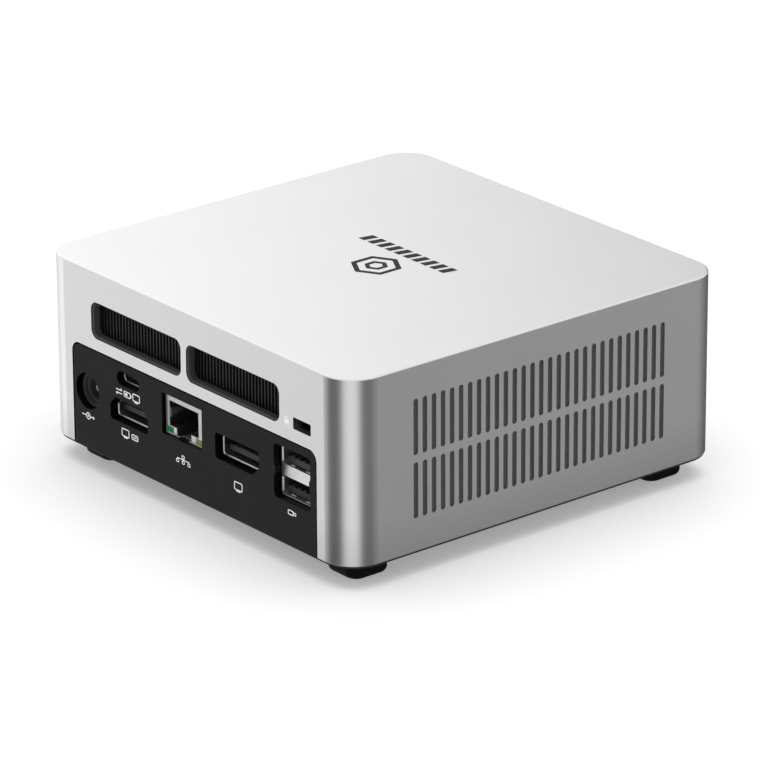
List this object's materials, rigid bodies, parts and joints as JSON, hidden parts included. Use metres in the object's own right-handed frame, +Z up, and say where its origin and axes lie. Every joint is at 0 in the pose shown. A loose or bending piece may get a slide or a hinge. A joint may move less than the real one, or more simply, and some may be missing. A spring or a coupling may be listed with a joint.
{
  "type": "mini pc",
  "caption": "Small desktop computer: square aluminium casing with slotted sides, rear connector panel, twin exhaust windows, sprung power button and internal blower.",
  "frame": {"origin": "centre of the footprint on the surface that the four feet stand on", "axes": "+Z up, +Y towards the rear connector face, -Y towards the power button, +X to the right seen from the front"},
  "size_m": [0.128, 0.126, 0.0572],
  "materials": {
    "anodised_aluminium": "bead-blasted and clear anodised, satin",
    "panel_plastic": "fine spark-eroded texture, moulded",
    "vent_plastic": "moulded, satin",
    "filter_mesh": "fine woven mesh",
    "cover_plastic": "fine moulded grain",
    "foot_rubber": "matt moulded rubber",
    "bright_steel": "zinc plated",
    "port_metal": "bright nickel sheet",
    "port_steel": "tin-plated sheet, satin",
    "port_plastic": "moulded, satin",
    "lamp_green": "clear tinted light pipe",
    "lamp_amber": "clear tinted light pipe",
    "lamp_clear": "clear light pipe",
    "button_metal": "turned, fine concentric lines",
    "brass": "machined",
    "copper": "drawn copper",
    "fin_coating": "thin black oxide on aluminium fins",
    "fan_plastic": "glass filled, satin",
    "winding": "enamelled copper over laminated core",
    "circuit_board": "solder mask",
    "chip_package": "moulded epoxy",
    "cell_steel": "nickel plated",
    "aerial_film": "flexible film",
    "lead_jacket": "thin coax jacket"
  },
  "bodies": {
    "chassis": {"casing": "anodised_aluminium", "io_panel": "panel_plastic", "exhaust_bezel": "vent_plastic", "lock_plate": "bright_steel", "dust_filters": "filter_mesh", "bottom_cover": "cover_plastic", "bracket_inserts": "brass", "cover_screws": "bright_steel", "main_board": "circuit_board", "board_screws": "bright_steel", "processor": "chip_package", "cold_plate": "copper", "cooler_screws": "bright_steel", "heat_pipes": "copper", "fin_stack": "fin_coating", "fan_housing": "fan_plastic", "fan_cover": "fan_plastic", "fan_bearing": "brass", "fan_stator": "winding", "fan_screws": "bright_steel", "memory_sockets": "port_plastic", "memory_modules": "circuit_board", "card_sockets": "port_plastic", "card_standoffs": "brass", "card_screws": "bright_steel", "storage_card": "circuit_board", "radio_card": "circuit_board", "cell_holder": "port_plastic", "clock_cell": "cell_steel", "antennas": "aerial_film", "aerial_leads": "lead_jacket", "foot_front_right": "foot_rubber", "foot_front_left": "foot_rubber", "foot_rear_right": "foot_rubber", "foot_rear_left": "foot_rubber", "rear_usb_c_shell": "port_steel", "rear_usb_c_insert": "port_plastic", "video_port_a_shell": "port_steel", "video_port_a_insert": "port_plastic", "video_port_b_shell": "port_steel", "video_port_b_insert": "port_plastic", "rear_usb_a_shell": "port_metal", "rear_usb_a_insert": "port_plastic", "network_jack_can": "port_metal", "network_jack_core": "port_plastic", "network_lamp_green": "lamp_green", "network_lamp_amber": "lamp_amber", "dc_jack": "port_plastic", "dc_jack_pin": "port_metal", "front_usb_c_shell": "port_steel", "front_usb_c_insert": "port_plastic", "front_usb_a_shells": "port_metal", "front_usb_a_inserts": "port_plastic", "audio_jack": "port_plastic", "power_lamp": "lamp_clear", "power_switch": "chip_package"},
    "power_button": {"power_button": "button_metal", "switch_plunger": "port_plastic"},
    "fan_rotor": {"fan_rotor": "fan_plastic", "fan_shaft": "bright_steel"}
  },
  "joints": [
    {"name": "power_press", "type": "slide", "parent": "chassis", "child": "power_button", "axis": [0, 1, 0], "range_m": [0, 0.0006], "stiffness_N_per_m": 1500, "springref_m": -0.0004},
    {"name": "fan_spin", "type": "hinge", "parent": "chassis", "child": "fan_rotor", "pos_m": [0.003, 0.008, 0.044], "axis": [0, 0, 1], "continuous": true}
  ]
}
